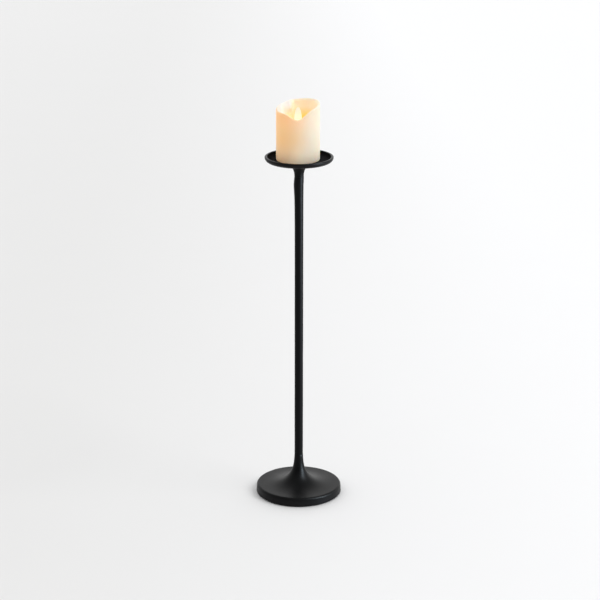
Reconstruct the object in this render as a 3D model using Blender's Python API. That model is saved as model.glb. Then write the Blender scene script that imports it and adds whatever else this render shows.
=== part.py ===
"""Tall pillar candle holder with a flameless moving-flame pillar candle standing in its dish.

Units are metres, +Z is up, and the front of the object faces -Y. The origin is the centre of
the felt under the foot, on the floor. The holder's pieces are placed up the axis, and the
candle's pieces hang on one empty that stands on the dish's floor.
"""
from math import atan2, ceil, cos, exp, pi, radians, sin

import bmesh
import bpy
from mathutils import Matrix, Vector

MM = 0.001

# Gap between pieces that touch, and between a shaft and its bore.
FIT = 0.3 * MM

# Foot: a turned casting with a trumpet neck, hollow beneath.
FOOT_DIAMETER = 152.4 * MM
FOOT_EDGE_HEIGHT = 16.6 * MM
FOOT_DRAFT = 0.6 * MM
FOOT_EDGE_ROUND = 4.0 * MM
FOOT_RIM_WIDTH = 10.0 * MM
FOOT_ROOF = 8.6 * MM
FOOT_INNER_DRAFT = 1.5 * MM
ROOF_KNEE = 0.45
ROOF_KNEE_RISE = 2.5 * MM
BOLT_LAND = 4.0 * MM
TRUMPET_HEIGHT = 55.4 * MM
TRUMPET_POWER = 3.2
TRUMPET_TAPER = 3.0 * MM
FELT_THICKNESS = 1.5 * MM
FELT_INSET = 2.7 * MM

# Stem: a round bar with a turned spigot at each end and a forged swelling near its top.
STEM_DIAMETER = 15.0 * MM
STEM_LENGTH = 513.7 * MM
SPIGOT_SHOULDER = 2.0 * MM
SPIGOT_LENGTH = 20.0 * MM
SWELLING = 2.1 * MM
SWELLING_DROP = 14.0 * MM
SWELLING_HALF_LENGTH = 20.0 * MM
SWELLING_LEAN = 0.34

# Dish: a shallow bowl with a rounded lip, on a flared boss.
DISH_DIAMETER = 118.6 * MM
DISH_DEPTH = 6.6 * MM
DISH_FLOOR_THICKNESS = 2.5 * MM
DISH_LIP_HALF_WIDTH = 2.3 * MM
DISH_LIP_CROWN = 1.3 * MM
DISH_WALL_LEAN = 7.5 * MM
DISH_FLOOR_ROUND = 4.0 * MM
DISH_FLOOR_FALL = 0.3 * MM
SEAT_MARGIN = 1.5 * MM
BOSS_HEIGHT = 26.3 * MM
BOSS_FLARE = 26.3 * MM
BOSS_STEP = 0.7 * MM
BOSS_POWER = 2.2

# M6 fasteners of the holder.
M6_RADIUS = 3.0 * MM
CHAMFER = 0.8 * MM
BOLT_LENGTH = 65.0 * MM
BOLT_HEAD_RADIUS = 5.0 * MM
BOLT_HEAD_HEIGHT = 6.0 * MM
BOLT_SEAT_BELOW_SOCKET = 28.0 * MM
HEX_RADIUS = 2.6 * MM
HEX_DEPTH = 2.4 * MM
WASHER_RADIUS = 9.0 * MM
WASHER_THICKNESS = 1.6 * MM
SPRING_WASHER_RADIUS = 5.9 * MM
SPLIT_WIDTH = 1.2 * MM
SPLIT_REACH = 8.0 * MM
SPLIT_SLANT = 25.0
DISH_SCREW_LENGTH = 25.0 * MM
DISH_SCREW_HEAD_RADIUS = 6.0 * MM
TAPPED_HOLE_SPARE = 5.0 * MM

# Candle: a hollow wax body whose edge has melted into a wave, standing a little off centre.
CANDLE_DIAMETER = 75.4 * MM
CANDLE_SIDE_SHIFT = -2.0 * MM
WAX_WALL = 3.2 * MM
WAX_CEILING = 60.0 * MM
WAX_FLOOR = 5.0 * MM
WAX_BOTTOM_ROUND = 0.8 * MM
WAX_CEILING_CHAMFER = 2.0 * MM
WAX_SEGMENTS = 60
MELT_EDGE = 2.2 * MM
MELT_SHOULDER = 1.4 * MM
MELT_DROP = 2.0 * MM
MELT_CROWN = 0.5 * MM
MELT_INNER_DROP = 1.2 * MM
BOWL_FLOOR_RADIUS = 24.0 * MM
BOWL_POWER = 0.6
RIM_MEAN_HEIGHT = 94.5 * MM
RIM_TILT = 7.5 * MM
RIM_TILT_TOWARDS = 50.0
RIM_DIP = 12.3 * MM
RIM_DIP_AT = 271.0
RIM_DIP_SPREAD = 18.5

# AA cells and the contacts at their ends.
CELL_DIAMETER = 14.5 * MM
CELL_LENGTH = 50.5 * MM
CELL_BUTTON_RADIUS = 2.75 * MM
CELL_BUTTON_HEIGHT = 1.0 * MM
CONTACT_THICKNESS = 0.5 * MM
CONTACT_WIDTH = 9.0 * MM
CONTACT_HEIGHT = 9.0 * MM
CELL_EDGE = 0.5 * MM
SPRING_LENGTH = 2.6 * MM
SPRING_WIRE = 0.6 * MM
SPRING_TURNS = 2.5
SPRING_WIDE = 4.6 * MM
SPRING_NARROW = 2.6 * MM

# Plastic base of the candle: a round plate with the battery box standing on it.
TRAY_RECESS = 2.0 * MM
TRAY_PLATE = 3.2 * MM
TRAY_WALL = 1.2 * MM
DOOR_THICKNESS = 1.8 * MM
DOOR_OVERLAP = 0.5 * MM
DOOR_TRAVEL = 3.0 * MM
HOOK_WIDTH = 2.8 * MM
HOOK_LENGTH = 1.4 * MM
HOOK_THICKNESS = 1.1 * MM
HOOK_POST = 2.0 * MM
GRIP_COUNT = 3
GRIP_FIRST_X = 18.0 * MM
GRIP_STEP = 2.0 * MM
GRIP_WIDTH = 0.9 * MM
GRIP_SPAN = 12.0 * MM
GRIP_DEPTH = 0.5 * MM

# Slide switch beside the battery door.
SWITCH_Y = 25.0 * MM
SWITCH_TRAVEL = 4.0 * MM
KNOB_LENGTH = 3.8 * MM
KNOB_WIDTH = 2.8 * MM
KNOB_RECESS = 0.5 * MM
KNOB_CAVITY = 3.0 * MM
SWITCH_BODY_LENGTH = 13.0 * MM
SWITCH_BODY_WIDTH = 6.4 * MM
SWITCH_BODY_HEIGHT = 6.0 * MM

# Circuit board on two bosses above the battery box.
BOARD_LENGTH = 31.0 * MM
BOARD_WIDTH = 28.0 * MM
BOARD_THICKNESS = 1.6 * MM
BOARD_BOSS_HEIGHT = 3.5 * MM
BOARD_SCREW_Y = 11.0 * MM
BOSS_RADIUS = 2.6 * MM
BOSS_HOLE_FLOOR = 1.0 * MM
CHIP_LENGTH = 5.0 * MM
CHIP_WIDTH = 4.0 * MM
CHIP_THICKNESS = 1.4 * MM
CHIP_X = 7.0 * MM
CHIP_Y = 4.0 * MM

# Flame drive: a carrier plate on two posts, a tower, an electromagnet and a swinging flame.
POST_X = 19.5 * MM
POST_HEIGHT = 7.2 * MM
CARRIER_LENGTH = 46.0 * MM
CARRIER_THICKNESS = 2.0 * MM
TOWER_LENGTH = 30.0 * MM
TOWER_WIDTH = 18.0 * MM
TOWER_WALL = 1.6 * MM
PIVOT_BELOW_CEILING = 5.0 * MM
PIVOT_WIRE_RADIUS = 0.4 * MM
PIVOT_HOLE_RADIUS = 0.8 * MM
BOBBIN_RADIUS = 6.8 * MM
BOBBIN_HEIGHT = 7.0 * MM
BOBBIN_FLANGE = 1.0 * MM
BOBBIN_WALL = 1.0 * MM
WINDING_INSET = 0.6 * MM
CORE_RADIUS = 2.0 * MM
MAGNET_RADIUS = 4.0 * MM
MAGNET_THICKNESS = 3.0 * MM
MAGNET_BELOW_PIVOT = 13.0 * MM
FLAME_THICKNESS = 1.4 * MM
FLAME_HEIGHT = 36.7 * MM
FLAME_BELLY_HEIGHT = 16.0 * MM
FLAME_HALF_WIDTH = 6.4 * MM
FLAME_SHOULDER = 1.8
FLAME_BLUNTNESS = 0.5
FLAME_STEM_HALF_WIDTH = 2.0 * MM
FLAME_STEM_TOP = 8.0 * MM
SLOT_LENGTH = 13.0 * MM
SLOT_WIDTH = 4.4 * MM
SMALL_SCREW_RADIUS = 1.0 * MM
SMALL_HEAD_RADIUS = 2.0 * MM
SMALL_HEAD_HEIGHT = 1.2 * MM
SMALL_CHAMFER = 0.4 * MM
SMALL_TIP_SPARE = 1.8 * MM

# Lamp that leans back at the flame from the front of the tower.
LED_RADIUS = 2.5 * MM
LED_FLANGE_RADIUS = 2.8 * MM
LED_FLANGE = 1.0 * MM
LED_LENGTH = 8.6 * MM
LED_TILT = 35.0
LED_TIP_BELOW_CEILING = 0.5 * MM
LED_TIP_FORWARD = 12.6 * MM
LED_HOLDER_LENGTH = 16.7 * MM
LED_HOLDER_WIDTH = 10.0 * MM
LED_HOLDER_HEIGHT = 11.0 * MM
LED_HOLDER_BELOW_CEILING = 3.0 * MM

# Facets round the pieces.
FINE_ROUND = 48
MIDDLE_ROUND = 24
SMALL_ROUND = 16

# Heights up the holder's axis, from the floor.
FOOT_BOTTOM = FELT_THICKNESS + FIT
NECK_TOP = FOOT_EDGE_HEIGHT + TRUMPET_HEIGHT
STEM_BOTTOM = NECK_TOP + FIT
DISH_BOTTOM = STEM_BOTTOM + STEM_LENGTH + FIT
DISH_FLOOR = BOSS_HEIGHT + DISH_FLOOR_THICKNESS
DISH_SCREW_TOP = DISH_BOTTOM + DISH_FLOOR - DISH_FLOOR_FALL - FIT
CANDLE_BOTTOM = DISH_BOTTOM + DISH_FLOOR + FIT

# Radii and depths that follow from the sizes above.
STEM_RADIUS = STEM_DIAMETER / 2
SPIGOT_RADIUS = STEM_RADIUS - SPIGOT_SHOULDER
SOCKET_RADIUS = SPIGOT_RADIUS + FIT
SOCKET_DEPTH = SPIGOT_LENGTH + FIT
M6_HOLE_RADIUS = M6_RADIUS + FIT
BOLT_SEAT = NECK_TOP - SOCKET_DEPTH - BOLT_SEAT_BELOW_SOCKET
BOLT_UNDER_HEAD = BOLT_SEAT - 2 * WASHER_THICKNESS - 3 * FIT
BOLT_REACH = BOLT_UNDER_HEAD + BOLT_LENGTH - STEM_BOTTOM
CANDLE_RADIUS = CANDLE_DIAMETER / 2
WAX_BORE = CANDLE_RADIUS - WAX_WALL
BOWL_FLOOR = WAX_CEILING + WAX_FLOOR

# Battery box, worked out from the cells.
CELL_RADIUS = CELL_DIAMETER / 2
CELL_Y = CELL_RADIUS + FIT / 2
BOX_INNER_LENGTH = CELL_LENGTH + SPRING_LENGTH + 2 * CONTACT_THICKNESS + 5 * FIT
BOX_INNER_WIDTH = 2 * CELL_DIAMETER + 5 * FIT
CELL_BODY_REACH = BOX_INNER_LENGTH / 2 - 2 * FIT - CONTACT_THICKNESS - CELL_BUTTON_HEIGHT
OPENING_LENGTH = 2 * (CELL_BODY_REACH + FIT)
OPENING_WIDTH = 2 * CELL_DIAMETER + 3 * FIT
PLATE_TOP = TRAY_RECESS + TRAY_PLATE
DOOR_TOP = TRAY_RECESS + DOOR_THICKNESS
CELL_AXIS = DOOR_TOP + 2 * FIT + CELL_RADIUS
BOX_CEILING = CELL_AXIS + CELL_RADIUS + FIT
BOX_TOP = BOX_CEILING + TRAY_WALL
BOARD_BOTTOM = BOX_TOP + BOARD_BOSS_HEIGHT + FIT
BOARD_TOP = BOARD_BOTTOM + BOARD_THICKNESS
CARRIER_BOTTOM = BOX_TOP + POST_HEIGHT + FIT
CARRIER_TOP = CARRIER_BOTTOM + CARRIER_THICKNESS
PIVOT = WAX_CEILING - PIVOT_BELOW_CEILING
TOWER_TOP = WAX_CEILING - FIT


def clear_scene():
    for thing in list(bpy.data.objects):
        bpy.data.objects.remove(thing, do_unlink=True)


def make_material(name, color, roughness, metallic=0.0):
    finish = bpy.data.materials.new(name)
    finish.use_nodes = True
    shader = finish.node_tree.nodes["Principled BSDF"]
    shader.inputs["Base Color"].default_value = (*color, 1.0)
    shader.inputs["Roughness"].default_value = roughness
    shader.inputs["Metallic"].default_value = metallic
    return finish


def add_object(name, shape, finish, parent=None, location=(0.0, 0.0, 0.0)):
    """Turn a bmesh into a named object with its own material."""
    bmesh.ops.recalc_face_normals(shape, faces=shape.faces)
    mesh = bpy.data.meshes.new(name)
    shape.to_mesh(mesh)
    shape.free()
    mesh.shade_smooth()
    mesh.set_sharp_from_angle(angle=radians(35.0))
    thing = bpy.data.objects.new(name, mesh)
    thing.data.materials.append(finish)
    thing.location = location
    thing.parent = parent
    bpy.context.collection.objects.link(thing)
    return thing


def boolean(target, tool, operation="DIFFERENCE"):
    """Cut the tool out of the target, or join it to it, with the tool kept as a hidden guide."""
    tool.hide_render = True
    tool.display_type = "WIRE"
    tool.parent = target
    step = target.modifiers.new(tool.name, "BOOLEAN")
    step.operation = operation
    step.solver = "EXACT"
    step.object = tool


def arc(center_r, center_z, radius, start, end, steps):
    """Points along an arc in the outline plane, angles in degrees from the outward direction."""
    points = []
    for index in range(steps + 1):
        angle = radians(start + (end - start) * index / steps)
        points.append((center_r + radius * cos(angle), center_z + radius * sin(angle)))
    return points


def turned(outline, segments):
    """Spin an outline of (radius, height) points; a closed outline starts and ends off the axis."""
    shape = bmesh.new()
    points = [shape.verts.new((radius, 0.0, height)) for radius, height in outline]
    edges = [shape.edges.new(pair) for pair in zip(points, points[1:])]
    if outline[0][0] > 0.0:
        edges.append(shape.edges.new((points[-1], points[0])))
    bmesh.ops.spin(shape, geom=points + edges, cent=(0, 0, 0), axis=(0, 0, 1),
                   angle=2 * pi, steps=segments, use_merge=True, use_duplicate=False)
    bmesh.ops.remove_doubles(shape, verts=shape.verts, dist=0.002 * MM)
    return shape


def box(x0, x1, y0, y1, z0, z1):
    shape = bmesh.new()
    place = Matrix.Translation(((x0 + x1) / 2, (y0 + y1) / 2, (z0 + z1) / 2))
    size = Matrix.Diagonal((x1 - x0, y1 - y0, z1 - z0, 1.0))
    bmesh.ops.create_cube(shape, size=1.0, matrix=place @ size)
    return shape


def centred_box(length, width, z0, z1, x=0.0, y=0.0):
    return box(x - length / 2, x + length / 2, y - width / 2, y + width / 2, z0, z1)


def rod(radius, z0, z1, segments=SMALL_ROUND):
    return turned([(0.0, z0), (radius, z0), (radius, z1), (0.0, z1)], segments)


def superellipse(radius_far, radius_near, height, power, steps, taper=0.0):
    """Curve from the far radius, where it lies flat, up to the near radius, where it is upright.

    A taper widens the near end steadily downwards.
    """
    points = []
    for index in range(steps + 1):
        turn = pi / 2 * index / steps
        across = sin(turn) ** (2 / power)
        up = 1.0 - cos(turn) ** (2 / power)
        radius = radius_far - (radius_far - radius_near) * across + taper * (1.0 - up) * across
        points.append((radius, height * up))
    return points


# Holder

def make_base_casting(finish):
    side = FOOT_DIAMETER / 2
    edge = side - FOOT_DRAFT
    rounding = arc(edge - FOOT_EDGE_ROUND, FOOT_EDGE_HEIGHT - FOOT_EDGE_ROUND,
                   FOOT_EDGE_ROUND, 0, 75, 4)
    trumpet = superellipse(edge, STEM_RADIUS, TRUMPET_HEIGHT, TRUMPET_POWER, 15, TRUMPET_TAPER)
    trumpet = [(r, FOOT_EDGE_HEIGHT + z) for r, z in trumpet if r < edge - FOOT_EDGE_ROUND]
    socket_floor = NECK_TOP - SOCKET_DEPTH
    roof = FOOT_EDGE_HEIGHT - FOOT_ROOF
    inside = side - FOOT_RIM_WIDTH
    underside = [(SOCKET_RADIUS, NECK_TOP), (SOCKET_RADIUS, socket_floor),
                 (M6_HOLE_RADIUS, socket_floor), (M6_HOLE_RADIUS, BOLT_SEAT),
                 (WASHER_RADIUS + BOLT_LAND, BOLT_SEAT),
                 (inside * ROOF_KNEE, roof + ROOF_KNEE_RISE),
                 (inside - FOOT_INNER_DRAFT, roof), (inside, FOOT_BOTTOM)]
    outline = [(side, FOOT_BOTTOM)] + rounding + trumpet + underside
    add_object("base_casting", turned(outline, FINE_ROUND), finish)


def make_felt_pad(finish):
    pad = rod(FOOT_DIAMETER / 2 - FELT_INSET, 0.0, FELT_THICKNESS, FINE_ROUND)
    add_object("felt_pad", pad, finish)


def stem_growth(height):
    """How much the bar's diameter has swollen at a height above its lower shoulder."""
    away = (height - (STEM_LENGTH - SWELLING_DROP)) / SWELLING_HALF_LENGTH
    return SWELLING / (1.0 + away * away)


def make_stem(finish):
    swollen_from = STEM_LENGTH - 6 * SWELLING_HALF_LENGTH
    heights = [STEM_LENGTH * part / 4 for part in range(4)]
    heights = [z for z in heights if z < swollen_from]
    steps = 16
    heights += [swollen_from + (STEM_LENGTH - swollen_from) * n / steps for n in range(steps + 1)]
    sides = [(STEM_RADIUS + stem_growth(z) / 2, z) for z in heights]
    low, high = -SPIGOT_LENGTH, STEM_LENGTH + SPIGOT_LENGTH
    low_hole = BOLT_REACH + TAPPED_HOLE_SPARE
    reach = DISH_SCREW_LENGTH - (DISH_SCREW_TOP - STEM_BOTTOM - STEM_LENGTH)
    high_hole = STEM_LENGTH - reach - TAPPED_HOLE_SPARE
    outline = [(0.0, low_hole), (M6_HOLE_RADIUS, low_hole), (M6_HOLE_RADIUS, low),
               (SPIGOT_RADIUS, low), (SPIGOT_RADIUS, 0.0)] + sides
    outline += [(SPIGOT_RADIUS, STEM_LENGTH), (SPIGOT_RADIUS, high), (M6_HOLE_RADIUS, high),
                (M6_HOLE_RADIUS, high_hole), (0.0, high_hole)]
    shape = turned(outline, MIDDLE_ROUND)
    for point in shape.verts:
        on_outside = Vector(point.co.xy).length > SPIGOT_RADIUS + FIT
        if on_outside and point.co.z > 0.0:
            fade = min(1.0, (STEM_LENGTH - point.co.z) / SWELLING_DROP)
            point.co.x -= SWELLING_LEAN * stem_growth(point.co.z) * fade
    add_object("stem", shape, finish, location=(0, 0, STEM_BOTTOM))


def make_dish(finish):
    outer = DISH_DIAMETER / 2
    top = DISH_FLOOR + DISH_DEPTH
    lip_r = outer - DISH_LIP_HALF_WIDTH
    lip_z = top - DISH_LIP_CROWN
    boss = superellipse(STEM_RADIUS + BOSS_STEP + BOSS_FLARE, STEM_RADIUS + BOSS_STEP,
                        BOSS_HEIGHT, BOSS_POWER, 8)
    boss = [(r, BOSS_HEIGHT - z) for r, z in reversed(boss)]
    foot_r = outer - DISH_WALL_LEAN
    wall = [(foot_r + DISH_WALL_LEAN * sin(radians(a)),
             lip_z - (lip_z - BOSS_HEIGHT) * cos(radians(a))) for a in (0, 25, 50, 72)]
    lip = [(lip_r + DISH_LIP_HALF_WIDTH * cos(radians(a)), lip_z + DISH_LIP_CROWN * sin(radians(a)))
           for a in range(0, 181, 30)]
    inner_r = outer - 2 * DISH_LIP_HALF_WIDTH - DISH_FLOOR_ROUND
    well = arc(inner_r, DISH_FLOOR + DISH_FLOOR_ROUND, DISH_FLOOR_ROUND, 0, -90, 4)
    seat_r = CANDLE_RADIUS + abs(CANDLE_SIDE_SHIFT) + SEAT_MARGIN
    sink_r = DISH_SCREW_HEAD_RADIUS + 2 * FIT
    sink_top = DISH_FLOOR - DISH_FLOOR_FALL
    middle = [(seat_r, DISH_FLOOR), (sink_r, sink_top),
              (M6_HOLE_RADIUS, sink_top - sink_r + M6_HOLE_RADIUS),
              (M6_HOLE_RADIUS, SOCKET_DEPTH), (SOCKET_RADIUS, SOCKET_DEPTH), (SOCKET_RADIUS, 0.0)]
    outline = boss + wall + lip + well[1:] + middle
    add_object("dish", turned(outline, FINE_ROUND), finish, location=(0, 0, DISH_BOTTOM))


def add_hex_recess(target, top):
    tool = turned([(0.0, top - HEX_DEPTH), (HEX_RADIUS, top - HEX_DEPTH),
                   (HEX_RADIUS, top + MM), (0.0, top + MM)], 6)
    boolean(target, add_object(target.name + "_key", tool, target.data.materials[0]))


def make_base_bolt(finish):
    shank = [(0.0, BOLT_LENGTH), (M6_RADIUS - CHAMFER, BOLT_LENGTH),
             (M6_RADIUS, BOLT_LENGTH - CHAMFER), (M6_RADIUS, 0.0)]
    head = [(BOLT_HEAD_RADIUS, 0.0), (BOLT_HEAD_RADIUS, CHAMFER - BOLT_HEAD_HEIGHT),
            (BOLT_HEAD_RADIUS - CHAMFER, -BOLT_HEAD_HEIGHT), (0.0, -BOLT_HEAD_HEIGHT)]
    shape = turned(shank + head, MIDDLE_ROUND)
    bolt = add_object("base_bolt", shape, finish, location=(0, 0, BOLT_UNDER_HEAD))
    add_hex_recess(bolt, -BOLT_HEAD_HEIGHT + HEX_DEPTH - MM)


def make_base_washers(finish):
    plain = [(M6_HOLE_RADIUS, 0.0), (WASHER_RADIUS, 0.0),
             (WASHER_RADIUS, WASHER_THICKNESS), (M6_HOLE_RADIUS, WASHER_THICKNESS)]
    upper = BOLT_SEAT - FIT - WASHER_THICKNESS
    add_object("base_washer", turned(plain, MIDDLE_ROUND), finish, location=(0, 0, upper))
    split = [(M6_HOLE_RADIUS, 0.0), (SPRING_WASHER_RADIUS, 0.0),
             (SPRING_WASHER_RADIUS, WASHER_THICKNESS), (M6_HOLE_RADIUS, WASHER_THICKNESS)]
    lower = upper - FIT - WASHER_THICKNESS
    ring = add_object("base_spring_washer", turned(split, MIDDLE_ROUND), finish,
                      location=(0, 0, lower))
    gap = centred_box(SPLIT_REACH, SPLIT_WIDTH, -WASHER_THICKNESS, 2 * WASHER_THICKNESS,
                      x=SPRING_WASHER_RADIUS)
    bmesh.ops.rotate(gap, verts=gap.verts, cent=(0, 0, WASHER_THICKNESS / 2),
                     matrix=Matrix.Rotation(radians(SPLIT_SLANT), 3, "X"))
    boolean(ring, add_object("base_spring_washer_gap", gap, finish))


def make_dish_screw(finish):
    cone = DISH_SCREW_HEAD_RADIUS - M6_RADIUS
    outline = [(0.0, 0.0), (DISH_SCREW_HEAD_RADIUS, 0.0), (M6_RADIUS, -cone),
               (M6_RADIUS, CHAMFER - DISH_SCREW_LENGTH),
               (M6_RADIUS - CHAMFER, -DISH_SCREW_LENGTH), (0.0, -DISH_SCREW_LENGTH)]
    place = (0, 0, DISH_SCREW_TOP)
    screw = add_object("dish_screw", turned(outline, MIDDLE_ROUND), finish, location=place)
    add_hex_recess(screw, 0.0)


# Candle

def rim_height(angle):
    """Height of the melted edge above the candle's bottom, at an angle in degrees from +X."""
    from_dip = (angle - RIM_DIP_AT + 180.0) % 360.0 - 180.0
    wave = RIM_TILT * cos(radians(angle - RIM_TILT_TOWARDS))
    return RIM_MEAN_HEIGHT + wave - RIM_DIP * exp(-0.5 * (from_dip / RIM_DIP_SPREAD) ** 2)


def make_wax_shell(finish, parent):
    bottom = WAX_BOTTOM_ROUND
    edge = CANDLE_RADIUS - MELT_EDGE
    bowl_edge = edge - MELT_EDGE
    rise = RIM_MEAN_HEIGHT - BOWL_FLOOR
    bowl = [(BOWL_FLOOR_RADIUS + (bowl_edge - BOWL_FLOOR_RADIUS) * t ** BOWL_POWER,
             BOWL_FLOOR + (rise - MELT_INNER_DROP) * t) for t in (1.0, 0.7, 0.4, 0.16)]
    outline = [(0.0, WAX_CEILING), (WAX_BORE - WAX_CEILING_CHAMFER, WAX_CEILING),
               (WAX_BORE, WAX_CEILING - WAX_CEILING_CHAMFER),
               (WAX_BORE, 0.0), (CANDLE_RADIUS - bottom, 0.0), (CANDLE_RADIUS, bottom),
               (CANDLE_RADIUS, BOWL_FLOOR), (CANDLE_RADIUS, RIM_MEAN_HEIGHT - MELT_DROP),
               (edge + MELT_SHOULDER, RIM_MEAN_HEIGHT - MELT_CROWN), (edge, RIM_MEAN_HEIGHT)]
    outline += bowl + [(BOWL_FLOOR_RADIUS, BOWL_FLOOR), (0.0, BOWL_FLOOR)]
    shape = turned(outline, WAX_SEGMENTS)
    for point in shape.verts:
        if point.co.z > BOWL_FLOOR + FIT:
            angle = atan2(point.co.y, point.co.x) * 180.0 / pi
            share = (rim_height(angle) - BOWL_FLOOR) / rise
            point.co.z = BOWL_FLOOR + (point.co.z - BOWL_FLOOR) * share
    shell = add_object("wax_shell", shape, finish, parent)
    slot = centred_box(SLOT_LENGTH, SLOT_WIDTH, WAX_CEILING - MM, BOWL_FLOOR + MM)
    boolean(shell, add_object("wax_slot", slot, finish))
    beam = rod(LED_RADIUS + 2 * FIT, LED_LENGTH - LED_RADIUS, LED_LENGTH + 2 * WAX_FLOOR)
    window = add_object("wax_window", beam, finish)
    window.location = led_place()
    window.rotation_euler.x = -radians(LED_TILT)
    boolean(shell, window)


def make_battery_tray(finish, parent):
    plate = rod(WAX_BORE - FIT, TRAY_RECESS, PLATE_TOP, FINE_ROUND)
    tray = add_object("battery_tray", plate, finish, parent)
    outer_length = BOX_INNER_LENGTH + 2 * TRAY_WALL
    outer_width = BOX_INNER_WIDTH + 2 * TRAY_WALL
    shell = centred_box(outer_length, outer_width, PLATE_TOP - MM, BOX_TOP)
    boolean(tray, add_object("tray_box", shell, finish), "UNION")
    posts = [(POST_X, 0.0, POST_HEIGHT), (-POST_X, 0.0, POST_HEIGHT),
             (0.0, BOARD_SCREW_Y, BOARD_BOSS_HEIGHT), (0.0, -BOARD_SCREW_Y, BOARD_BOSS_HEIGHT)]
    for number, (x, y, height) in enumerate(posts):
        post = add_object(f"tray_post_{number}", rod(BOSS_RADIUS, -MM, height, 12), finish)
        post.location = (x, y, BOX_TOP)
        boolean(tray, post, "UNION")
    for number, (x, y, height) in enumerate(posts):
        hole = rod(SMALL_SCREW_RADIUS + FIT, BOSS_HOLE_FLOOR, height + MM, 12)
        drill = add_object(f"tray_hole_{number}", hole, finish)
        drill.location = (x, y, BOX_TOP)
        boolean(tray, drill)
    inside = centred_box(BOX_INNER_LENGTH, BOX_INNER_WIDTH, PLATE_TOP, BOX_CEILING)
    boolean(tray, add_object("tray_inside", inside, finish))
    opening = centred_box(OPENING_LENGTH, OPENING_WIDTH, -MM, PLATE_TOP + MM)
    boolean(tray, add_object("tray_opening", opening, finish))
    reach = OPENING_LENGTH / 2 + DOOR_OVERLAP + FIT
    side = OPENING_WIDTH / 2 + DOOR_OVERLAP + FIT
    recess = box(-reach, reach + DOOR_TRAVEL, -side, side, -MM, DOOR_TOP + FIT)
    boolean(tray, add_object("tray_recess", recess, finish))
    slot = centred_box(KNOB_LENGTH + SWITCH_TRAVEL + 2 * FIT, KNOB_WIDTH + 2 * FIT,
                       -MM, PLATE_TOP + MM, y=SWITCH_Y)
    boolean(tray, add_object("tray_switch_slot", slot, finish))


def make_battery_door(finish, parent):
    length = OPENING_LENGTH + 2 * DOOR_OVERLAP
    width = OPENING_WIDTH + 2 * DOOR_OVERLAP
    panel = centred_box(length, width, TRAY_RECESS, DOOR_TOP)
    door = add_object("battery_door", panel, finish, parent)
    hook_base = PLATE_TOP + FIT
    edge = -OPENING_LENGTH / 2
    post = box(edge + FIT, edge + FIT + HOOK_POST, -HOOK_WIDTH / 2, HOOK_WIDTH / 2,
               DOOR_TOP - MM, hook_base + HOOK_THICKNESS)
    boolean(door, add_object("door_hook_post", post, finish), "UNION")
    hook = box(edge - HOOK_LENGTH, edge + HOOK_POST / 2, -HOOK_WIDTH / 2, HOOK_WIDTH / 2,
               hook_base, hook_base + HOOK_THICKNESS)
    boolean(door, add_object("door_hook", hook, finish), "UNION")
    for number in range(GRIP_COUNT):
        x = GRIP_FIRST_X + number * GRIP_STEP
        groove = centred_box(GRIP_WIDTH, GRIP_SPAN, 0.0, TRAY_RECESS + GRIP_DEPTH, x=x)
        boolean(door, add_object(f"door_groove_{number}", groove, finish))


def make_cells(finish, parent):
    """Two AA cells side by side, one each way round, each pushed to its flat contact."""
    body = CELL_LENGTH - CELL_BUTTON_HEIGHT
    end = CELL_RADIUS - CELL_EDGE
    outline = [(0.0, 0.0), (end, 0.0), (CELL_RADIUS, CELL_EDGE), (CELL_RADIUS, body - CELL_EDGE),
               (end, body), (CELL_BUTTON_RADIUS, body), (CELL_BUTTON_RADIUS, CELL_LENGTH),
               (0.0, CELL_LENGTH)]
    for number, side in ((1, -1), (2, 1)):
        shape = turned(outline, MIDDLE_ROUND)
        start = BOX_INNER_LENGTH / 2 - 2 * FIT - CONTACT_THICKNESS - CELL_LENGTH
        cell = add_object(f"battery_{number}", shape, finish, parent)
        cell.rotation_euler.y = side * pi / 2
        cell.location = (side * start, side * CELL_Y, CELL_AXIS)


def make_contacts(finish, parent):
    """A bridge across both cells at +X, and a separate plate for each cell at -X."""
    end = BOX_INNER_LENGTH / 2 - FIT
    low = CELL_AXIS - CONTACT_HEIGHT / 2
    high = CELL_AXIS + CONTACT_HEIGHT / 2
    span = CELL_Y + CONTACT_WIDTH / 2
    bridge = box(end - CONTACT_THICKNESS, end, -span, span, low, high)
    add_object("contact_bridge", bridge, finish, parent)
    half = CONTACT_WIDTH / 2
    for name, y in (("contact_plate_positive", -CELL_Y), ("contact_plate_negative", CELL_Y)):
        plate = box(-end, -end + CONTACT_THICKNESS, y - half, y + half, low, high)
        add_object(name, plate, finish, parent)


def make_contact_springs(finish, parent):
    """Conical wire springs that push the flat end of each cell."""
    points_per_turn = 12
    count = ceil(SPRING_TURNS * points_per_turn)
    travel = SPRING_LENGTH - SPRING_WIRE
    start = BOX_INNER_LENGTH / 2 - 2 * FIT - CONTACT_THICKNESS - SPRING_WIRE / 2
    for number, side in ((1, 1), (2, -1)):
        curve = bpy.data.curves.new(f"contact_spring_{number}", "CURVE")
        curve.dimensions = "3D"
        curve.bevel_depth = SPRING_WIRE / 2
        curve.bevel_resolution = 1
        curve.use_fill_caps = True
        spline = curve.splines.new("POLY")
        spline.points.add(count)
        for index, point in enumerate(spline.points):
            share = index / count
            turn = 2 * pi * SPRING_TURNS * share
            radius = SPRING_WIDE + (SPRING_NARROW - SPRING_WIDE) * share
            point.co = (side * (start - travel * share), radius * cos(turn), radius * sin(turn), 1.0)
        spring = bpy.data.objects.new(curve.name, curve)
        spring.data.materials.append(finish)
        spring.location = (0.0, -side * CELL_Y, CELL_AXIS)
        spring.parent = parent
        bpy.context.collection.objects.link(spring)


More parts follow.
